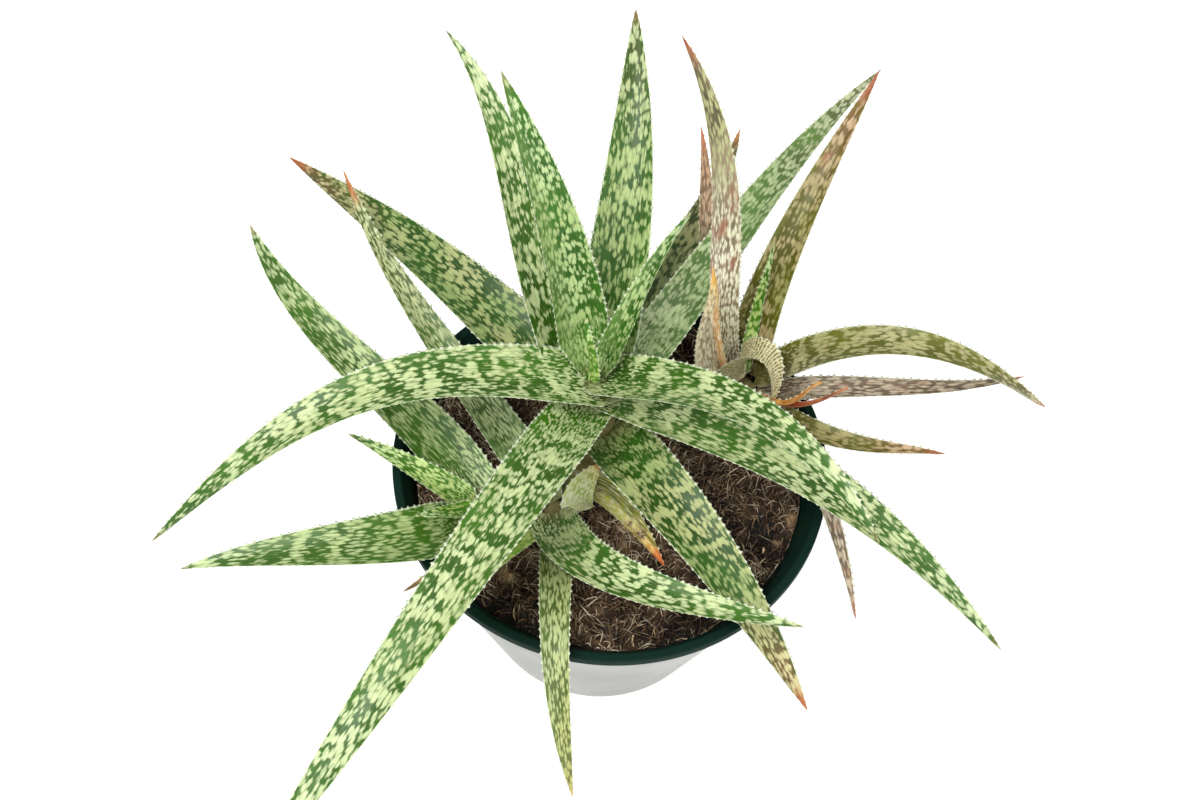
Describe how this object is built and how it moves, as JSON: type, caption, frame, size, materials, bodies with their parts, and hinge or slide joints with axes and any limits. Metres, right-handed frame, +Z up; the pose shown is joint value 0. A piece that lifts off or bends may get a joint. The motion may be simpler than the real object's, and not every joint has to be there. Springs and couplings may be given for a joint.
{
  "type": "potted aloe",
  "caption": "Potted white beauty aloe: toothed, white-spotted succulent leaves in rosettes growing from coir in a dark-rimmed pot set inside a pale tapered cover pot, standing on a flat base",
  "frame": {"origin": "centre of the cover pot's flat base, on the surface it stands on", "axes": "+Z up the pots' axis; +Y away from the viewer of the picture, +X to that viewer's right"},
  "size_m": [0.2981, 0.3013, 0.246],
  "materials": {
    "cover_pot": "satin, moulded",
    "grow_pot": "satin, moulded",
    "coir": "loose fibres",
    "stem": "dull",
    "leaf_green": "waxy, spotted pale green on dark green",
    "leaf_olive": "waxy, spotted tan on olive",
    "leaf_dried": "dry, wrinkled grey-brown",
    "leaf_rust": "dry, rust orange"
  },
  "bodies": {
    "root": {"cover_pot": "cover_pot", "grow_pot": "grow_pot", "potting_mix": "coir", "stem_main": "stem", "stem_left": "stem", "stem_front": "stem", "stem_dry": "stem", "leaf_main_bud": "leaf_green", "leaf_main_inner": "leaf_green", "leaf_main_channelled": "leaf_green", "leaf_main_back": "leaf_green", "leaf_main_right_upper": "leaf_green", "leaf_main_left": "leaf_green", "leaf_main_back_left": "leaf_green", "leaf_main_right_lower": "leaf_green", "leaf_main_front": "leaf_green", "leaf_main_far_left": "leaf_green", "leaf_main_back_right": "leaf_green", "leaf_main_front_right": "leaf_green", "leaf_main_back_low": "leaf_green", "leaf_left_tiny": "leaf_green", "leaf_left_small": "leaf_green", "leaf_left_back": "leaf_green", "leaf_left_long": "leaf_green", "leaf_left_dried": "leaf_dried", "leaf_front_right": "leaf_green", "leaf_front_stub": "leaf_green", "leaf_front_folded": "leaf_olive", "leaf_front_left": "leaf_green", "leaf_front_withered": "leaf_olive", "leaf_front_hanging": "leaf_olive", "leaf_dry_young": "leaf_green", "leaf_dry_dead": "leaf_dried", "leaf_dry_tall": "leaf_dried", "leaf_dry_curled": "leaf_olive", "leaf_dry_back": "leaf_olive", "leaf_dry_arching": "leaf_olive", "leaf_dry_thin": "leaf_dried", "leaf_dry_shred_upper": "leaf_rust", "leaf_dry_shred_lower": "leaf_rust", "leaf_dry_right": "leaf_dried", "leaf_dry_low_right": "leaf_olive", "leaf_dry_hanging": "leaf_dried"}
  },
  "joints": []
}
